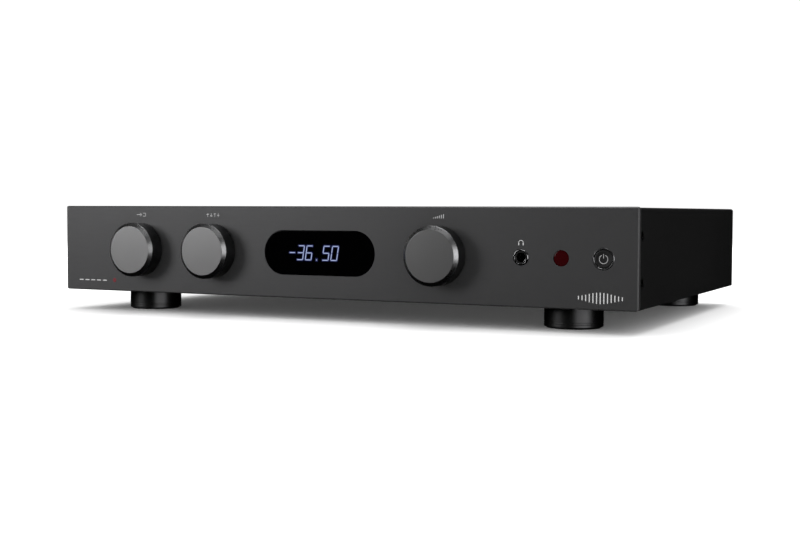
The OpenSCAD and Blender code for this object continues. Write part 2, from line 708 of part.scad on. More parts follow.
module mains_rocker() color("#181818") in_case() {
    translate([switch_x, rocker_y, terminal_z]) rotate([-rocker_tilt, 0, 0]) {
        rotate([90, 0, 90]) translate([0, 0, -4.7]) linear_extrude(9.4)
            polygon([[-2, -6.8], [-2, 6.8], [4.2, 7], [3.4, 0], [4.2, -7]]);
        translate([-5.6, 0, 0]) rotate([0, 90, 0]) cylinder(h = 11.2, r = 1.2, $fn = 32);
    }
}

// ---- wiring -----------------------------------------------------------------

module ribbon_cable() color("lightgray") in_case() {
    rear_face = front_board_y + board_t;
    translate([-20, 0, 0]) rotate([90, 0, 90]) linear_extrude(36)
        polygon([[rear_face, 22], [rear_face + 8, 22], [46, 15], [52, 15], [52, board_top], [58, board_top],
                 [58, 17], [45.4, 17], [rear_face + 8.6, 24], [rear_face, 24]]);
}

module mains_leads() color("saddlebrown") in_case() {
    up = [0, 0, 1];
    coil_y = toroid_y + toroid_r;
    lead([[inlet_x - 7, 262, 34], [inlet_x - 7, 250, 33], [-170, 236, 28], [switch_x - 4, 250, 30],
          [switch_x - 4, 272, terminal_z]], 1.4, up);
    lead([[inlet_x + 7, 262, 34], [inlet_x + 7, 246, 33], [-172, 214, 20], [toroid_x - 4, 190, 16],
          [toroid_x - 4, coil_y, 16]], 1.4, up);
    lead([[switch_x + 4, 272, terminal_z], [switch_x + 4, 250, 30], [-138, 220, 20], [toroid_x + 4, 190, 16],
          [toroid_x + 4, coil_y, 16]], 1.4, up);
}

module speaker_leads() color("#8a2020") in_case() for (i = [0 : 3]) {
    start_x = -4 + i * 9;
    lead([[start_x, 194, board_top], [start_x, 194, board_top + 5], [start_x, 194, 22 + i * 4],
          [post_xs[i] + 4, 240, 26 + i * 2], [post_xs[i], 262, terminal_z], [post_xs[i], 269, terminal_z],
          [post_xs[i], 276, terminal_z]], 1.3, [1, 0, 0]);
}

front_fascia();
front_frame();
chassis_tray();
rear_panel();
top_cover();
display_window();
display_module();
front_board();
encoders();
panel_nuts();
headphone_jack();
ir_window();
ir_receiver();
power_bezel();
power_switch();
foot_front_left();
foot_front_right();
foot_rear_left();
foot_rear_right();
foot_pads();
foot_screws();
case_screws();
standoffs();
board_screws();
transformer();
transformer_pads();
transformer_clamp();
transformer_bolt();
main_board();
reservoir_caps();
heatsink();
output_transistors();
speaker_relays();
input_board();
phono_sockets();
optical_sockets();
trigger_jack();
speaker_posts();
mains_inlet();
switch_housing();
ribbon_cable();
mains_leads();
speaker_leads();
select_knob();
select_shaft();
mode_knob();
mode_shaft();
volume_knob();
volume_shaft();
power_button();
mains_rocker();
fuse_drawer();
post_collar_1();
post_collar_2();
post_collar_3();
post_collar_4();
post_cap_1();
post_cap_2();
post_cap_3();
post_cap_4();
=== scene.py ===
"""Slim integrated amplifier: finishes, turned and printed details, and a plain studio."""

import json
import math

import bmesh
import bpy
from mathutils import Matrix, Vector


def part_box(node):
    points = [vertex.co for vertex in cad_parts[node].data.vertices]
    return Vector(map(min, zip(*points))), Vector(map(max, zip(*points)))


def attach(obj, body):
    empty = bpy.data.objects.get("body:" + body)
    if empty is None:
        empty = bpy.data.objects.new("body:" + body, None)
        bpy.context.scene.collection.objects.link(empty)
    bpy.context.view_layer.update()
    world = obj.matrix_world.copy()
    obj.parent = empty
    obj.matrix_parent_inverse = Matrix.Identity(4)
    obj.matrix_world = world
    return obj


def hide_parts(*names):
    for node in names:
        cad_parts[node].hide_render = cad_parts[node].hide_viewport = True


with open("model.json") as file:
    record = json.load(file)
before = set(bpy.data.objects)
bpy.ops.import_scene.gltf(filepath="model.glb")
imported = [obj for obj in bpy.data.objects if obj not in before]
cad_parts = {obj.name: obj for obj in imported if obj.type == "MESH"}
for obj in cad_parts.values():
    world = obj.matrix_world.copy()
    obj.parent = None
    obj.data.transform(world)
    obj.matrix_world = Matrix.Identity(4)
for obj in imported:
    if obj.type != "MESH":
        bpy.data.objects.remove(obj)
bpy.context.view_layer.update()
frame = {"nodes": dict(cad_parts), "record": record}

# ---- places, all taken from the frame ------------------------------------------

MM = 0.001
FRONT_FACING = Matrix.Rotation(math.radians(90), 4, "X")
BACK_FACING = Matrix.Rotation(math.radians(-90), 4, "X")
DOWN_FACING = Matrix.Rotation(math.radians(180), 4, "X")


def centre(node):
    """The middle of a node's box."""
    low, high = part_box(node)
    return (low + high) / 2


def back_end(node):
    """The middle of a front control's back end, where its turned profile starts."""
    middle = centre(node)
    return Vector((middle.x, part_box(node)[1].y, middle.z))


def turned_size_mm(node):
    """A turned node's radius across X and its length along Y, in millimetres."""
    low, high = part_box(node)
    return (high.x - low.x) / 2 / MM, (high.y - low.y) / MM


PLATE_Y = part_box("front_fascia")[0].y
SILL_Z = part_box("front_fascia")[0].z
CONTROL_Z = centre("volume_knob").z
REAR_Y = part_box("rear_panel")[1].y
INK_DEPTH = 0.03 * MM
KNOBS = {"select_knob": "select", "mode_knob": "mode", "volume_knob": "volume"}
FEET = ("foot_front_left", "foot_front_right", "foot_rear_left", "foot_rear_right")


# ---- camera and studio ---------------------------------------------------------

CAMERA_AT = Vector((0.4123, PLATE_Y - 0.7053, SILL_Z + 0.06))
CAMERA_TURN = (-26.21, -2.454, 0.202)
LENS_MM = 53.73
SHIFT = (-0.0049, -0.0048)

# Each light: azimuth and elevation in degrees, distance, size, and power in watts.
# Azimuth 0 is straight in front of the amplifier, and 90 is to its right.
SOFTBOXES = {
    "left_softbox": (-39, 17, 1.5, (0.58, 0.68), 2.8),
    "right_strip": (37, 6, 1.5, (0.25, 0.8), 0.8),
    "side_softbox": (62, 5, 1.5, (0.8, 0.7), 1.9),
    "front_fill": (10, 50, 2.0, (1.6, 0.8), 0.8),
    "top_softbox": (165, 80, 1.9, (1.7, 1.3), 18),
    "rear_softbox": (205, 22, 1.8, (1.2, 0.8), 12),
}


def add_camera():
    """A camera to the right of the front, a little above the plate's lower edge."""
    yaw, pitch, roll = (math.radians(angle) for angle in CAMERA_TURN)
    ahead = Vector((math.sin(yaw) * math.cos(pitch), math.cos(yaw) * math.cos(pitch), math.sin(pitch)))
    level = Vector((math.cos(yaw), -math.sin(yaw), 0))
    upright = level.cross(ahead)
    right = math.cos(roll) * level + math.sin(roll) * upright
    up = math.cos(roll) * upright - math.sin(roll) * level
    data = bpy.data.cameras.new("camera")
    data.sensor_width = 36
    data.lens = LENS_MM
    data.shift_x, data.shift_y = SHIFT
    data.clip_start = 0.01
    camera = bpy.data.objects.new("camera", data)
    axes = Matrix((right, up, -ahead)).transposed().to_4x4()
    camera.matrix_world = Matrix.Translation(CAMERA_AT) @ axes
    bpy.context.scene.collection.objects.link(camera)
    bpy.context.scene.camera = camera


def softbox(name, azimuth, elevation, distance, size, power):
    """An area light that faces the amplifier."""
    a, e = math.radians(azimuth), math.radians(elevation)
    out = Vector((math.sin(a) * math.cos(e), -math.cos(a) * math.cos(e), math.sin(e)))
    data = bpy.data.lights.new(name, "AREA")
    data.shape = "RECTANGLE"
    data.size, data.size_y = size
    data.energy = power
    light = bpy.data.objects.new(name, data)
    light.rotation_mode = "QUATERNION"
    light.rotation_quaternion = (-out).to_track_quat("-Z", "Y")
    light.location = Vector((0, 0, SILL_Z)) + out * distance
    bpy.context.scene.collection.objects.link(light)


def add_floor():
    """A pale paper floor. It lights the amplifier, but shiny faces don't mirror it."""
    bm = bmesh.new()
    bmesh.ops.create_grid(bm, x_segments=2, y_segments=2, size=12)
    mesh = bpy.data.meshes.new("floor")
    bm.to_mesh(mesh)
    bm.free()
    floor = bpy.data.objects.new("floor", mesh)
    paper = bpy.data.materials.new("floor_paper")
    paper.use_nodes = True
    shader = paper.node_tree.nodes["Principled BSDF"]
    shader.inputs["Base Color"].default_value = (0.93, 0.93, 0.93, 1)
    shader.inputs["Roughness"].default_value = 0.9
    shader.inputs["Specular IOR Level"].default_value = 0.0
    shader.inputs["Emission Color"].default_value = (1, 1, 1, 1)
    shader.inputs["Emission Strength"].default_value = 0.05
    mesh.materials.append(paper)
    floor.visible_glossy = False
    bpy.context.scene.collection.objects.link(floor)


def add_studio():
    """White surroundings, which shiny faces don't mirror, and the soft lights, which they do."""
    scene = bpy.context.scene
    scene.view_settings.view_transform = "Standard"
    world = bpy.data.worlds.new("studio")
    world.use_nodes = True
    world.node_tree.nodes["Background"].inputs["Color"].default_value = (1, 1, 1, 1)
    world.node_tree.nodes["Background"].inputs["Strength"].default_value = 1.03
    scene.world = world
    world.cycles_visibility.glossy = False
    for name, setting in SOFTBOXES.items():
        softbox(name, *setting)


# ---- finishes ------------------------------------------------------------------

class Finish:
    """A procedural material: helpers that add texture nodes to one Principled shader."""

    def __init__(self, name, **fixed):
        self.material = bpy.data.materials.new(name)
        self.material.use_nodes = True
        self.tree = self.material.node_tree
        self.shader = self.tree.nodes["Principled BSDF"]
        for socket, value in fixed.items():
            self.shader.inputs[socket.replace("_", " ")].default_value = value
        self.place = self.tree.nodes.new("ShaderNodeTexCoord").outputs["Object"]
        self.normal = None

    def add(self, kind, inputs=(), **settings):
        """A node with its settings, and its inputs given by name as values or as sockets."""
        made = self.tree.nodes.new(kind)
        for key, value in settings.items():
            setattr(made, key, value)
        for key, value in dict(inputs).items():
            if isinstance(value, bpy.types.NodeSocket):
                self.tree.links.new(value, made.inputs[key])
            else:
                made.inputs[key].default_value = value
        return made

    def math(self, operation, a, b=0.0):
        return self.add("ShaderNodeMath", {0: a, 1: b}, operation=operation).outputs[0]

    def mapped(self, scale=(1, 1, 1), at=(0, 0, 0), turn=(0, 0, 0)):
        """Object coordinates, moved so that the point at is the origin, turned, then scaled."""
        moved = self.add("ShaderNodeMapping", {"Vector": self.place, "Location": [-v for v in at]})
        values = {"Vector": moved.outputs[0], "Rotation": turn, "Scale": scale}
        return self.add("ShaderNodeMapping", values).outputs[0]

    def noise(self, scale, detail=3.0, vector=None, rough=0.5):
        where = self.place if vector is None else vector
        values = {"Vector": where, "Scale": scale, "Detail": detail, "Roughness": rough}
        return self.add("ShaderNodeTexNoise", values).outputs["Fac"]

    def remap(self, value, low, high, to_low, to_high):
        values = {"Value": value, "From Min": low, "From Max": high, "To Min": to_low, "To Max": to_high}
        return self.add("ShaderNodeMapRange", values).outputs["Result"]

    def tones(self, share, first, second):
        """A colour between two, by share."""
        mix = self.add("ShaderNodeMix", data_type="RGBA")
        self.tree.links.new(share, mix.inputs[0])
        mix.inputs[6].default_value = (*first, 1)
        mix.inputs[7].default_value = (*second, 1)
        return mix.outputs[2]

    def layered(self, share, under, second):
        """A colour socket, covered by a plain colour where share is high."""
        mix = self.add("ShaderNodeMix", data_type="RGBA")
        self.tree.links.new(share, mix.inputs[0])
        self.tree.links.new(under, mix.inputs[6])
        mix.inputs[7].default_value = (*second, 1)
        return mix.outputs[2]

    def bump(self, height, depth_mm, strength=1.0):
        """Adds relief on top of what is there already."""
        values = {"Height": height, "Distance": depth_mm * MM, "Strength": strength}
        if self.normal is not None:
            values["Normal"] = self.normal
        self.normal = self.add("ShaderNodeBump", values).outputs[0]
        return self

    def join(self, colour=None, roughness=None):
        """Connects the finished sockets, and gives back the material."""
        for socket, value in (("Base Color", colour), ("Roughness", roughness), ("Normal", self.normal)):
            if value is not None:
                self.tree.links.new(value, self.shader.inputs[socket])
        return self.material


def shade(colour, factor):
    return tuple(min(1.0, c * factor) for c in colour)


def surface(name, colour, roughness, spread=0.08, grain=900, relief=0.0, cloud=14, vary=0.04, **fixed):
    """An even finish: faint cloudy colour, fine grain in the relief, and roughness that wanders."""
    f = Finish(name, **fixed)
    clouds = f.noise(cloud, 4)
    fine = f.noise(grain, 3)
    mixed = f.math("ADD", f.math("MULTIPLY", clouds, 0.6), f.math("MULTIPLY", fine, 0.4))
    tone = f.tones(f.remap(mixed, 0.3, 0.7, 0, 1), shade(colour, 1 - spread), shade(colour, 1 + spread))
    rough = f.remap(f.noise(cloud * 2.3, 5), 0.3, 0.7, roughness - vary, roughness + vary)
    if relief:
        f.bump(fine, relief)
    return f.join(tone, rough)


def blasted(name, colour, roughness):
    """Bead-blasted and anodised aluminium: a fine even sparkle and the odd faint rub."""
    f = Finish(name, Metallic=0.88)
    beads = f.noise(2600, 2)
    clouds = f.noise(9, 4)
    rubs = f.noise(60, 5, f.mapped((1, 1, 9), turn=(0, 0.4, 0)), 0.6)
    tone = f.tones(f.math("ADD", f.math("MULTIPLY", clouds, 0.7), f.math("MULTIPLY", beads, 0.3)),
                   shade(colour, 0.93), shade(colour, 1.07))
    rough = f.math("ADD", f.remap(rubs, 0.3, 0.75, roughness + 0.03, roughness - 0.04),
                   f.math("MULTIPLY", beads, 0.03))
    return f.bump(beads, 0.012, 0.5).join(tone, rough)


def turned(name, colour, roughness, at, ring_mm=0.16, depth_mm=0.006):
    """Lathe-turned metal with fine rings round an axis along Y through the point at."""
    f = Finish(name, Metallic=1.0)
    local = f.mapped(at=at)
    flat = f.add("ShaderNodeVectorMath", {0: local, 1: (1, 0, 1)}, operation="MULTIPLY").outputs[0]
    radius = f.add("ShaderNodeVectorMath", {0: flat}, operation="LENGTH").outputs["Value"]
    along = f.add("ShaderNodeCombineXYZ", {"X": radius}).outputs[0]
    rings = f.noise(1 / (ring_mm * MM), 3, along, 0.6)
    clouds = f.noise(35, 4)
    tone = f.tones(f.math("ADD", f.math("MULTIPLY", rings, 0.5), f.math("MULTIPLY", clouds, 0.5)),
                   shade(colour, 0.9), shade(colour, 1.1))
    rough = f.remap(rings, 0.3, 0.7, roughness - 0.04, roughness + 0.05)
    return f.bump(rings, depth_mm, 0.6).join(tone, rough)


def powder_coat(name, colour):
    """Fine-textured powder coat: small round grains in relief, and slightly polished tops."""
    f = Finish(name, Specular_IOR_Level=0.4)
    grains = f.add("ShaderNodeTexVoronoi", {"Vector": f.place, "Scale": 1400, "Randomness": 1.0},
                   feature="SMOOTH_F1").outputs["Distance"]
    clouds = f.noise(7, 4)
    tone = f.tones(clouds, shade(colour, 0.8), shade(colour, 1.25))
    rough = f.math("ADD", f.remap(clouds, 0.3, 0.7, 0.5, 0.57), f.math("MULTIPLY", grains, 0.08))
    return f.bump(grains, 0.02, 0.5).join(tone, rough)


def plated_sheet(name, colour, roughness, stretch=(40, 40, 2600)):
    """Rolled or drawn metal: long fine streaks and a faint mottle."""
    f = Finish(name, Metallic=1.0)
    streaks = f.noise(1, 4, f.mapped(stretch), 0.6)
    clouds = f.noise(26, 5)
    tone = f.tones(f.math("ADD", f.math("MULTIPLY", streaks, 0.6), f.math("MULTIPLY", clouds, 0.4)),
                   shade(colour, 0.84), shade(colour, 1.12))
    rough = f.math("ADD", f.remap(streaks, 0.3, 0.7, roughness - 0.06, roughness + 0.06),
                   f.math("MULTIPLY", clouds, 0.08))
    return f.bump(streaks, 0.01, 0.4).join(tone, rough)


def circuit_board(name):
    """Green solder mask over copper tracks, with a grid of tinned holes."""
    f = Finish(name, Coat_Weight=0.4, Coat_Roughness=0.2)
    greens = {"Color1": (0.008, 0.06, 0.022, 1), "Color2": (0.012, 0.085, 0.03, 1),
              "Mortar": (0.02, 0.13, 0.045, 1)}
    tracks = f.add("ShaderNodeTexBrick", {"Vector": f.place, "Scale": 130, "Mortar Size": 0.03, **greens})
    dots = f.add("ShaderNodeTexVoronoi", {"Vector": f.place, "Scale": 260, "Randomness": 0.35})
    holes = f.remap(dots.outputs["Distance"], 0.1, 0.16, 1, 0)
    tone = f.layered(holes, tracks.outputs["Color"], (0.45, 0.45, 0.42))
    rough = f.remap(f.noise(40, 4), 0.3, 0.7, 0.38, 0.5)
    f.bump(tracks.outputs["Fac"], 0.03, 0.5)
    return f.bump(holes, 0.05, 0.4).join(tone, rough)


def windings(name, at):
    """Enamelled wire laid side by side round a ring core, under clear tape."""
    f = Finish(name, Coat_Weight=0.6, Coat_Roughness=0.25, Metallic=0.6)
    spot = f.add("ShaderNodeSeparateXYZ", {0: f.mapped(at=at)})
    angle = f.math("ARCTAN2", spot.outputs["Y"], spot.outputs["X"])
    turns_of_wire, turns_of_tape = 220.0, 22.0
    wires = f.math("SINE", f.math("MULTIPLY", angle, turns_of_wire))
    wraps = f.math("SINE", f.math("MULTIPLY", angle, turns_of_tape))
    tone = f.layered(f.remap(wraps, 0.9, 1.0, 0, 0.35),
                     f.tones(f.remap(wires, -1, 1, 0, 1), (0.22, 0.08, 0.02), (0.62, 0.3, 0.08)),
                     (0.75, 0.68, 0.4))
    rough = f.remap(f.noise(70, 4), 0.3, 0.7, 0.28, 0.42)
    return f.bump(wires, 0.15, 0.8).join(tone, rough)


def sleeve(name, colour, roughness=0.45, rib_mm=None):
    """Soft plastic sleeve, with ribs across X where the cable is flat."""
    f = Finish(name)
    clouds = f.noise(60, 4)
    tone = f.tones(clouds, shade(colour, 0.82), shade(colour, 1.15))
    rough = f.remap(f.noise(300, 3), 0.3, 0.7, roughness - 0.06, roughness + 0.06)
    if rib_mm:
        across = f.add("ShaderNodeSeparateXYZ", {0: f.place}).outputs["X"]
        f.bump(f.math("SINE", f.math("MULTIPLY", across, 2 * math.pi / (rib_mm * MM))), 0.25, 0.9)
    return f.bump(f.noise(800, 3), 0.01, 0.4).join(tone, rough)


def glow(name, colour, strength, under=(0.002, 0.003, 0.01)):
    """A lit display element, or a painted glow round one: its brightness wanders a little, as phosphor does.
    """
    f = Finish(name, Emission_Strength=strength, Roughness=0.4)
    patches = f.noise(500, 3)
    f.tree.links.new(f.tones(patches, shade(colour, 0.88), colour), f.shader.inputs["Emission Color"])
    return f.join(f.tones(patches, under, shade(under, 1.4)), f.remap(patches, 0, 1, 0.35, 0.5))


def make_finishes():
    """Every finish by its name. Names that the record has as slots are the same here."""
    made = {
        "fascia_black": blasted("fascia_black", (0.17, 0.17, 0.173), 0.45),
        "case_black": powder_coat("case_black", (0.0075, 0.0075, 0.0078)),
        "frame_steel": plated_sheet("frame_steel", (0.55, 0.56, 0.57), 0.36),
        "rubber": surface("rubber", (0.012, 0.012, 0.012), 0.78, grain=1500, relief=0.03),
        "window_black": surface("window_black", (0.0003, 0.0003, 0.0004), 0.05, vary=0.02, cloud=30,
                                Specular_IOR_Level=0.3),
        "display_dark": surface("display_dark", (0.004, 0.005, 0.014), 0.12, cloud=60, vary=0.05),
        "board_green": circuit_board("board_green"),
        "board_black": surface("board_black", (0.015, 0.015, 0.016), 0.45, relief=0.02),
        "nickel": surface("nickel", (0.72, 0.72, 0.74), 0.14, spread=0.05, cloud=40, Metallic=1.0),
        "hardware": plated_sheet("hardware", (0.56, 0.56, 0.55), 0.3, (500, 500, 500)),
        "screw_black": surface("screw_black", (0.05, 0.05, 0.052), 0.36, grain=2000, relief=0.01,
                               Metallic=1.0),
        "remote_red": surface("remote_red", (0.02, 0.0006, 0.0012), 0.12, cloud=90, vary=0.03, spread=0.12,
                              Specular_IOR_Level=0.25),
        "winding": windings("winding", centre("transformer")),
        "capacitor": surface("capacitor", (0.012, 0.02, 0.07), 0.3, cloud=45, relief=0.02),
        "sink_grey": plated_sheet("sink_grey", (0.6, 0.6, 0.61), 0.38, (2600, 60, 60)),
        "relay_white": surface("relay_white", (0.62, 0.6, 0.53), 0.42, relief=0.02),
        "gold": surface("gold", (0.86, 0.6, 0.22), 0.2, cloud=50, vary=0.06, Metallic=1.0),
        "plastic_black": surface("plastic_black", (0.012, 0.012, 0.012), 0.42, grain=1600, relief=0.025),
        "cap_black": surface("cap_black", (0.01, 0.01, 0.01), 0.25, cloud=60, Coat_Weight=0.3),
        "cap_red": surface("cap_red", (0.34, 0.01, 0.012), 0.25, cloud=60, Coat_Weight=0.3),
        "ribbon_grey": sleeve("ribbon_grey", (0.45, 0.45, 0.46), rib_mm=1.27),
        "lead_brown": sleeve("lead_brown", (0.16, 0.06, 0.025)),
        "lead_red": sleeve("lead_red", (0.36, 0.02, 0.02)),
        "ink_pale": surface("ink_pale", (0.5, 0.5, 0.5), 0.55, grain=1200, spread=0.1),
        "ink_grey": surface("ink_grey", (0.3, 0.3, 0.3), 0.55, grain=1200, spread=0.1),
        "ink_red": surface("ink_red", (0.16, 0.008, 0.016), 0.5, grain=1200, spread=0.15),
        "insert_white": surface("insert_white", (0.7, 0.7, 0.68), 0.35, cloud=80),
        "insert_red": surface("insert_red", (0.42, 0.015, 0.015), 0.35, cloud=80),
        "segment_lit": glow("segment_lit", (0.56, 0.67, 1.0), 0.85),
        "segment_halo": glow("segment_halo", (0.02, 0.03, 0.2), 0.35),
    }
    for node, short in KNOBS.items():
        made[f"knob_{short}"] = turned(f"knob_{short}", (0.54, 0.54, 0.545), 0.4, centre(node))
    made["knob_wall"] = surface("knob_wall", (0.11, 0.11, 0.112), 0.34, grain=1800, relief=0.008,
                                Metallic=1.0)
    made["cut_edge"] = plated_sheet("cut_edge", (0.78, 0.78, 0.79), 0.27, (900, 900, 900))
    for node in FEET:
        made[node] = surface(node, (0.19, 0.19, 0.194), 0.36, grain=1400, vary=0.03, Metallic=1.0)
    made["button_black"] = turned("button_black", (0.2, 0.2, 0.204), 0.42, centre("power_button"), 0.1)
    made["bezel_black"] = turned("bezel_black", (0.62, 0.62, 0.63), 0.26, centre("power_bezel"), 0.12)
    return made


# ---- mesh helpers --------------------------------------------------------------

def new_piece(name, bm, finish, body="case", replaces=()):
    """Makes the bmesh an object that rides on a body, smooth except across its sharp edges."""
    mesh = bpy.data.meshes.new(name)
    bm.to_mesh(mesh)
    bm.free()
    mesh.materials.append(finishes[finish])
    mesh.shade_smooth()
    mesh.set_sharp_from_angle(angle=math.radians(32))
    made = bpy.data.objects.new(name, mesh)
    bpy.context.scene.collection.objects.link(made)
    even = made.modifiers.new("even_shading", "WEIGHTED_NORMAL")
    even.keep_sharp = True
    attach(made, body)
    if replaces:
        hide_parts(*replaces)
    return made


def soften(bm, size_mm, segments=2, sharper_than=25):
    """Rounds every edge that is sharper than the angle."""
    limit = math.radians(sharper_than)
    sharp = [e for e in bm.edges if len(e.link_faces) == 2 and e.calc_face_angle() > limit]
    bmesh.ops.bevel(bm, geom=sharp, offset=size_mm * MM, offset_type="OFFSET", segments=segments,
                    profile=0.5, affect="EDGES", clamp_overlap=True, material=-1)


def lathe(profile_mm, at, facing, steps, ring=False, round_mm=0.0):
    """A turned solid. The profile is (radius, height) in millimetres, from the point at outwards.
    A ring's profile is closed; any other starts and ends on the axis."""
    bm = bmesh.new()
    points = [bm.verts.new((r * MM, 0, h * MM)) for r, h in profile_mm]
    pairs = list(zip(points, points[1:])) + ([(points[-1], points[0])] if ring else [])
    edges = [bm.edges.new(pair) for pair in pairs]
    bmesh.ops.spin(bm, geom=points + edges, cent=(0, 0, 0), axis=(0, 0, 1), angle=2 * math.pi,
                   steps=steps, use_merge=True, use_duplicate=False)
    bmesh.ops.remove_doubles(bm, verts=bm.verts, dist=1e-7)
    bmesh.ops.recalc_face_normals(bm, faces=bm.faces)
    if round_mm:
        soften(bm, round_mm)
    bmesh.ops.transform(bm, matrix=Matrix.Translation(at) @ facing, verts=bm.verts)
    return bm


def merged(*parts):
    """Several bmeshes as one."""
    whole = bmesh.new()
    for part in parts:
        mesh = bpy.data.meshes.new("part")
        part.to_mesh(mesh)
        part.free()
        whole.from_mesh(mesh)
        bpy.data.meshes.remove(mesh)
    return whole


def from_frame(node):
    """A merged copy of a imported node's mesh, with its flat faces whole again."""
    bm = bmesh.new()
    bm.from_mesh(frame["nodes"][node].data)
    bmesh.ops.remove_doubles(bm, verts=bm.verts, dist=2e-6)
    bmesh.ops.dissolve_limit(bm, angle_limit=math.radians(0.4), verts=bm.verts, edges=bm.edges)
    return bm


def refine(node, name, finish, round_mm, segments=2, body="case"):
    """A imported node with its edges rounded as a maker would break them."""
    bm = from_frame(node)
    soften(bm, round_mm, segments)
    new_piece(name, bm, finish, body, (node,))


def stroke(bm, start, end, wide, deep, y):
    """A flat bar in the XZ plane from start to end, raised from y to -Y, or to +Y if deep is below 0."""
    a, b = Vector(start), Vector(end)
    run = b - a
    turn = Matrix.Rotation(-math.atan2(run.y, run.x), 4, "Y")
    size = Matrix.Diagonal((run.length + wide, abs(deep), wide, 1))
    middle = (a + b) / 2
    place = Matrix.Translation((middle.x, y - deep / 2, middle.y))
    bmesh.ops.create_cube(bm, size=1, matrix=place @ turn @ size)


def arc(bm, middle, radius, start, end, wide, deep, y, steps=32):
    """A flat arc in the XZ plane between two angles in degrees, anticlockwise seen from the front."""
    inner, outer = radius - wide / 2, radius + wide / 2
    corners = [(inner, 0), (outer, 0), (outer, -deep), (inner, -deep)]
    face = bm.faces.new([bm.verts.new((r, h, 0)) for r, h in corners])
    place = Matrix.Translation((middle[0], y, middle[1])) @ Matrix.Rotation(-math.radians(start), 4, "Y")
    swept = [face, *face.edges, *face.verts]
    bmesh.ops.transform(bm, matrix=place, verts=list(face.verts))
    bmesh.ops.spin(bm, geom=swept, cent=(middle[0], y, middle[1]), axis=(0, 1, 0),
                   angle=-math.radians(end - start), steps=steps, use_merge=False, use_duplicate=False)


BARS = {"top": ((0, 1), (1, 1)), "middle": ((0, 0.5), (1, 0.5)), "bottom": ((0, 0), (1, 0)),
        "upper_left": ((0, 0.5), (0, 1)), "upper_right": ((1, 0.5), (1, 1)),
        "lower_left": ((0, 0), (0, 0.5)), "lower_right": ((1, 0), (1, 0.5))}
UNLIT = {"-": set(BARS) - {"middle"}, ".": set(BARS), "0": {"middle"}, "2": {"upper_left", "lower_right"},
         "1": set(BARS) - {"upper_right", "lower_right"}, "3": {"upper_left", "lower_left"},
         "4": {"top", "bottom", "lower_left"}, "5": {"upper_right", "lower_left"}, "6": {"upper_right"}}


def digits(bm, text, corner, size, thick, deep, y, pitch=0.0, lean=0.0, gap=0.0, side=1):
    """Seven-bar figures from the lower left corner. A side of -1 makes them read right from behind."""
    wide, tall = size
    for place, figure in enumerate(text):
        left = place * pitch
        for bar, ends in BARS.items():
            if bar in UNLIT[figure]:
                continue
            a, b = (Vector((side * (left + u * wide + v * tall * lean), v * tall)) + corner for u, v in ends)
            inset = (b - a).normalized() * gap
            stroke(bm, a + inset, b - inset, thick, deep, y)
        if figure == ".":
            dot = Vector((side * (left + wide / 2), 0)) + corner
            stroke(bm, dot, dot + Vector((0, thick * 0.2)), thick * 1.2, deep, y)


def outline(bm, low, high, thick, deep, y):
    """A thin printed frame round a group of sockets, whose upright bars end at the level ones."""
    (left, bottom), (right, top) = low, high
    for z in (bottom, top):
        stroke(bm, (left, z), (right, z), thick, deep, y)
    for x in (left, right):
        stroke(bm, (x, bottom + thick), (x, top - thick), thick, deep, y)


def printed(name, bm, finish, body="case"):
    """A thin printed or inlaid mark."""
    bmesh.ops.recalc_face_normals(bm, faces=bm.faces)
    new_piece(name, bm, finish, body)


# ---- front: knobs, window, socket, button --------------------------------------

def make_knobs():
    """Three turned knobs: a flat face, a cut chamfer, and a hollow back with its hub."""
    face_r, chamfer, foot, wall, hub_r, bore_r, thick = 17.0, 2.0, 0.35, 2.5, 7.0, 3.05, 3.0
    for node, short in KNOBS.items():
        r, reach = turned_size_mm(node)
        floor = reach - thick
        profile = [(0, reach), (face_r, reach), (r, reach - chamfer), (r, foot), (r - foot, 0),
                   (r - wall, 0), (r - wall, floor), (hub_r, floor), (hub_r, 0), (bore_r, 0),
                   (bore_r, floor), (0, floor)]
        bm = lathe(profile, back_end(node), FRONT_FACING, 180, round_mm=0.12)
        behind_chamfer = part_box(node)[0].y + (chamfer + 0.05) * MM
        for face in bm.faces:
            if face.calc_center_median().y >= behind_chamfer or face.normal.y > -0.3:
                face.material_index = 2
            elif face.normal.y > -0.95:
                face.material_index = 1
        knob = new_piece(f"turned_{node}", bm, f"knob_{short}", short, (node,))
        for finish in ("cut_edge", "knob_wall"):
            knob.data.materials.append(finishes[finish])


def make_window():
    """The polished window, the six lit characters that show behind it, and a painted glow round them."""
    refine("display_window", "polished_window", "window_black", 0.35, 3)
    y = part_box("display_window")[0].y
    wide, tall, pitch, gap = 4.6 * MM, 9.6 * MM, 6.7 * MM, 0.45 * MM
    lean = math.tan(math.radians(9))
    start = Vector((-24 * MM, CONTROL_Z - tall / 2))
    # The halo is painted glow: a wider, dim blue emitting bar under each lit bar, where no part gives light.
    for name, finish, thick, deep in (("display_characters", "segment_lit", 0.5, 0.05),
                                      ("display_halo", "segment_halo", 1.7, 0.02)):
        bm = bmesh.new()
        digits(bm, "-36.50", start, (wide, tall), thick * MM, deep * MM, y, pitch, lean, gap)
        printed(name, bm, finish)


def make_remote_window():
    """The dark red remote window, with a slightly domed and polished front."""
    r, rise, lip_r, lip = 5.0, 0.5, 6.5, 1.2
    deep = turned_size_mm("ir_window")[1]
    angles = [i * math.pi / 16 for i in range(8)]
    dome = [(r * math.sin(t), deep - 0.3 + rise * math.cos(t)) for t in angles]
    profile = [*dome, (r, deep - 0.35), (r, lip), (lip_r, lip), (lip_r, 0), (0, 0)]
    bm = lathe(profile, back_end("ir_window"), FRONT_FACING, 96, round_mm=0.06)
    new_piece("domed_remote_window", bm, "remote_red", "case", ("ir_window",))


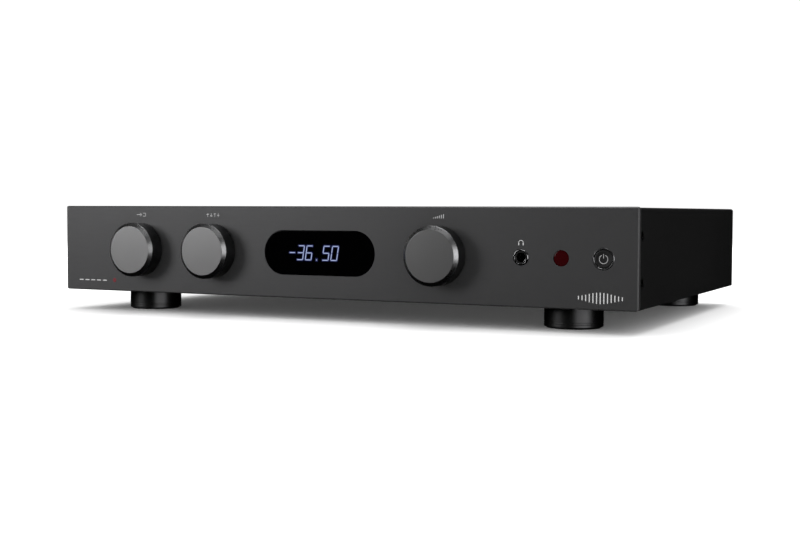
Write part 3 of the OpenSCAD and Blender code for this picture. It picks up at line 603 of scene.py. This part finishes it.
def make_headphone_socket():
    """The plated ring nut with a cut chamfer, the nuts under the knobs, and the socket's own nose."""
    refine("panel_nuts", "bright_panel_nuts", "nickel", 0.18, 3)
    refine("headphone_jack", "headphone_socket_body", "plastic_black", 0.1)
    inner, outer, deep = 2.95, 3.24, 4.4
    at = Vector((centre("headphone_jack").x, PLATE_Y + 5 * MM, CONTROL_Z))
    spring = lathe([(outer, 0), (outer, deep), (inner, deep), (inner, 0)], at, FRONT_FACING, 96, ring=True,
                   round_mm=0.05)
    new_piece("headphone_socket_liner", spring, "nickel")


def make_power_button():
    """The button with its dished face, the ring round it, and a power symbol let into the face."""
    dish = 0.12
    r, tall = 5.6, turned_size_mm("power_button")[1]
    profile = [(0, tall - dish), (3.9, tall - 0.1), (4.6, tall), (r - 0.25, tall), (r, tall - 0.25),
               (r, 2.5), (r + 0.9, 2.5), (r + 0.9, 1.5), (2, 1.5), (2, 0), (0, 0)]
    cap = lathe(profile, back_end("power_button"), FRONT_FACING, 128, round_mm=0.05)
    new_piece("power_button_cap", cap, "button_black", "power_button", ("power_button",))
    inner, outer, deep = 5.75, 6.85, turned_size_mm("power_bezel")[1]
    lip_r, lip = outer + 1.35, 1.2
    profile = [(inner, 0), (lip_r, 0), (lip_r, lip), (outer, lip), (outer, deep - 0.2), (outer - 0.25, deep),
               (outer - 0.75, deep), (inner, deep - 0.45)]
    ring = lathe(profile, back_end("power_bezel"), FRONT_FACING, 128, ring=True, round_mm=0.04)
    new_piece("power_button_ring", ring, "bezel_black", "case", ("power_bezel",))
    bm = bmesh.new()
    face_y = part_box("power_button")[0].y + dish * MM
    x, z = centre("power_button").x, centre("power_button").z - 0.1 * MM
    thick, deep = 0.36 * MM, 0.1 * MM
    arc(bm, (x, z), 2.65 * MM, 115, 425, thick, deep, face_y, 48)
    stroke(bm, (x, z + 0.7 * MM), (x, z + 3.0 * MM), thick, deep, face_y)
    printed("power_symbol", bm, "ink_grey", "power_button")


def make_front_print():
    """Generic marks on the front plate: a symbol over each knob and the socket, dashes and bars."""
    bm = bmesh.new()

    def line(x, z, points, wide=0.34):
        """Joined strokes through points in millimetres from the place (x, z)."""
        places = [(x + right * MM, z + up * MM) for right, up in points]
        for start, end in zip(places, places[1:]):
            stroke(bm, start, end, wide * MM, INK_DEPTH, PLATE_Y)

    label_z = SILL_Z + 57 * MM
    source_x, mode_x, volume_x = (centre(knob).x for knob in KNOBS)
    line(source_x, label_z, [(-4, 0), (0.4, 0)])
    line(source_x, label_z, [(-0.7, 1), (0.4, 0), (-0.7, -1)])
    line(source_x, label_z, [(1.8, 1.1), (4, 1.1), (4, -1.1), (1.8, -1.1)])
    for i, level in enumerate((0.5, -0.6, 0.8, -0.1)):
        x = -4.5 + 3 * i
        line(mode_x, label_z, [(x, -1.2), (x, 1.2)], 0.26)
        line(mode_x, label_z, [(x - 0.6, level), (x + 0.6, level)], 0.5)
    for i in range(6):
        x = -3.5 + 1.4 * i
        line(volume_x, label_z, [(x, -1.2), (x, -1.0 + 0.42 * i)], 0.45)
    phones = (centre("headphone_jack").x, SILL_Z + 40.6 * MM)
    arc(bm, phones, 1.55 * MM, -12, 192, 0.32 * MM, INK_DEPTH, PLATE_Y, 24)
    for x in (-1.5, 1.5):
        line(*phones, [(x, -1.2), (x, -0.3)], 0.6)
    dashes = (-197.5 * MM, SILL_Z + 7.6 * MM)
    for i in range(5):
        x = -12 + 5.6 * i
        line(*dashes, [(x, 0), (x + 3, 0)], 0.7)
    bars, count = (198.7 * MM, SILL_Z + 7.4 * MM), 13
    for i in range(count):
        x = -13.8 + 2.3 * i
        half = 0.7 + 2.5 * math.sin(math.pi * (i + 1) / (count + 1)) ** 2
        line(*bars, [(x, -half), (x, half)], 0.6)
    printed("front_marks", bm, "ink_pale")
    dot_r, dot_at = 1.6, Vector((-176.3 * MM, PLATE_Y, SILL_Z + 8 * MM))
    profile = [(0, INK_DEPTH / MM), (dot_r, INK_DEPTH / MM), (dot_r, 0), (0, 0)]
    new_piece("front_dot", lathe(profile, dot_at, FRONT_FACING, 48), "ink_red")


# ---- feet ----------------------------------------------------------------------

def make_feet():
    """Four turned feet with two fine grooves and a stepped base, and a rubber ring under each."""
    bolt_r, bore_r, rim_r, seat_r, step = 2.1, 4.6, 18.1, 9.6, 5.5
    rubber = [(9.8, 0.4), (10.2, 0), (11.4, 0), (11.7, 0.25), (15.6, 0.25), (15.9, 0), (17.4, 0),
              (17.9, 0.4), (17.9, 1.8), (9.8, 1.8)]
    pads = []
    for node in FEET:
        low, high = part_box(node)
        r, tall = (high.x - low.x) / 2 / MM, (high.z - low.z) / MM
        grooves = []
        for depth in (tall - 3.4, tall - 2.0):
            grooves += [(r, depth - 0.25), (r - 0.35, depth - 0.2)]
            grooves += [(r - 0.35, depth + 0.2), (r, depth + 0.25)]
        profile = [(bolt_r, 0), (r - 0.3, 0), (r, 0.3), *grooves, (r, tall - 0.5), (r - 0.5, tall),
                   (rim_r, tall), (rim_r, tall - 1), (seat_r, tall - 1), (seat_r, tall), (bore_r, tall),
                   (bore_r, step), (bolt_r, step)]
        top = Vector((centre(node).x, centre(node).y, high.z))
        bm = lathe(profile, top, DOWN_FACING, 180, ring=True, round_mm=0.08)
        new_piece(node.replace("foot_", "turned_foot_"), bm, node, "case", (node,))
        base = Vector((top.x, top.y, 0))
        pads.append(lathe(rubber, base, Matrix.Identity(4), 128, ring=True, round_mm=0.12))
    new_piece("rubber_rings", merged(*pads), "rubber", "case", ("foot_pads",))


# ---- rear ----------------------------------------------------------------------

def phono_places():
    """The X of each column of phono sockets, and the Z of each row by its liners' colour."""
    low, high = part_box("phono_sockets")
    rim, count = 6.6 * MM, 6
    columns = [low.x + rim + i * (high.x - low.x - 2 * rim) / (count - 1) for i in range(count)]
    return columns, {"red": low.z + rim, "white": high.z - rim}


def make_phono_sockets():
    """Plated sockets, each with a coloured liner inside and a coloured ring round its foot."""
    refine("phono_sockets", "plated_phono_sockets", "gold", 0.12)
    liner = [(1.7, 0), (1.7, 1.1), (2.0, 1.3), (2.9, 1.3), (3.05, 1.1), (3.05, 0)]
    ring = [(4.3, 0), (6.3, 0), (6.3, 0.5), (5.9, 0.9), (4.3, 0.9)]
    liner_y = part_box("phono_sockets")[1].y - 2.7 * MM
    ring_y = REAR_Y + 1.3 * MM
    columns, rows = phono_places()
    for colour, z in rows.items():
        parts = []
        for x in columns:
            for profile, y in ((liner, liner_y), (ring, ring_y)):
                at = Vector((x, y, z))
                parts.append(lathe(profile, at, BACK_FACING, 64, ring=True, round_mm=0.05))
        new_piece(f"phono_liners_{colour}", merged(*parts), f"insert_{colour}")


def make_rear_parts():
    """Terminals with fluted caps, the small sockets, and the moulded mains parts."""
    refine("speaker_posts", "plated_speaker_posts", "gold", 0.15)
    for i in range(1, 5):
        colour = "cap_black" if i % 2 else "cap_red"
        refine(f"post_collar_{i}", f"terminal_collar_{i}", "gold", 0.15, body=f"collar_{i}")
        refine(f"post_cap_{i}", f"terminal_cap_{i}", colour, 0.3, body=f"cap_{i}")
    refine("trigger_jack", "trigger_socket", "nickel", 0.12)
    refine("optical_sockets", "optical_socket_bodies", "plastic_black", 0.12)
    refine("mains_inlet", "mains_inlet_body", "plastic_black", 0.2)
    refine("fuse_drawer", "fuse_drawer_body", "plastic_black", 0.12, body="fuse_drawer")
    refine("switch_housing", "mains_switch_housing", "plastic_black", 0.15)
    refine("mains_rocker", "mains_rocker_key", "plastic_black", 0.2, body="mains_rocker")


def make_rear_print():
    """Numbers over the sockets, frames round the groups, and the signs of the terminals."""
    bm = bmesh.new()

    def framed(left, bottom, right, top):
        outline(bm, (left, bottom), (right, top), 0.25 * MM, -INK_DEPTH, REAR_Y)

    columns, rows = phono_places()
    top_row, low_row = max(rows.values()), min(rows.values())
    framed(columns[0] - 10.5 * MM, low_row - 9 * MM, columns[-1] + 10.5 * MM, top_row + 15 * MM)
    for place, x in enumerate(reversed(columns)):
        corner = Vector((x + 0.8 * MM, top_row + 9.5 * MM))
        digits(bm, str(place + 1), corner, (1.6 * MM, 2.8 * MM), 0.35 * MM, -INK_DEPTH, REAR_Y, side=-1)
    caps = [centre(f"post_cap_{i}") for i in range(1, 5)]
    across, upright = Vector((1.2 * MM, 0)), Vector((0, 1.2 * MM))
    for minus, plus in (caps[:2], caps[2:]):
        framed(minus.x - 11 * MM, minus.z - 12 * MM, plus.x + 11 * MM, minus.z + 15 * MM)
        for cap, runs in ((minus, [across]), (plus, [across, upright])):
            middle = Vector((cap.x, cap.z + 12 * MM))
            for run in runs:
                stroke(bm, middle - run, middle + run, 0.4 * MM, -INK_DEPTH, REAR_Y)
    for node, room_mm in (("optical_sockets", 2.4), ("trigger_jack", 3.0), ("switch_housing", 2.6)):
        low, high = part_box(node)
        room = room_mm * MM
        framed(low.x - room, low.z - room, high.x + room, high.z + room)
    printed("rear_marks", bm, "ink_grey")


def make_rocker_signs():
    """A ring for off and a bar for on, printed on the rocker and moving with it."""
    low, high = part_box("mains_rocker")
    x, face_y = centre("mains_rocker").x, high.y - 0.35 * MM
    size, thick, margin, ink = 1.1, 0.35, 3.6 * MM, INK_DEPTH / MM
    inner, outer = size - thick / 2, size + thick / 2
    profile = [(inner, 0), (outer, 0), (outer, ink), (inner, ink)]
    off = lathe(profile, Vector((x, face_y, low.z + margin)), BACK_FACING, 32, ring=True)
    on = bmesh.new()
    middle, half = Vector((x, high.z - margin)), Vector((0, size * MM))
    stroke(on, middle - half, middle + half, thick * MM, -INK_DEPTH, face_y)
    printed("rocker_signs", merged(off, on), "ink_pale", "mains_rocker")


def make_case():
    """The front plate, cover, rear panel, tray and screws, with broken edges."""
    refine("front_fascia", "front_plate", "fascia_black", 0.1)
    refine("top_cover", "folded_cover", "case_black", 0.12)
    refine("rear_panel", "rear_plate", "case_black", 0.1)
    refine("chassis_tray", "folded_tray", "case_black", 0.12)
    refine("case_screws", "countersunk_screws", "screw_black", 0.08)
    refine("foot_screws", "foot_screws_and_nuts", "hardware", 0.15)
    refine("transformer_bolt", "transformer_bolt_and_nut", "hardware", 0.2)


# ---- everything ----------------------------------------------------------------

def dress_carried_nodes():
    """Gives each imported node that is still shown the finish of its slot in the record."""
    slots = {row["node"]: row["material_slot"] for row in frame["record"]["subparts"]}
    for node, shown in frame["nodes"].items():
        if not shown.hide_render:
            shown.data.materials.clear()
            shown.data.materials.append(finishes[slots[node]])


finishes = make_finishes()
add_camera()
add_floor()
add_studio()
make_case()
make_knobs()
make_window()
make_remote_window()
make_headphone_socket()
make_power_button()
make_front_print()
make_feet()
make_phono_sockets()
make_rear_parts()
make_rear_print()
make_rocker_signs()
dress_carried_nodes()
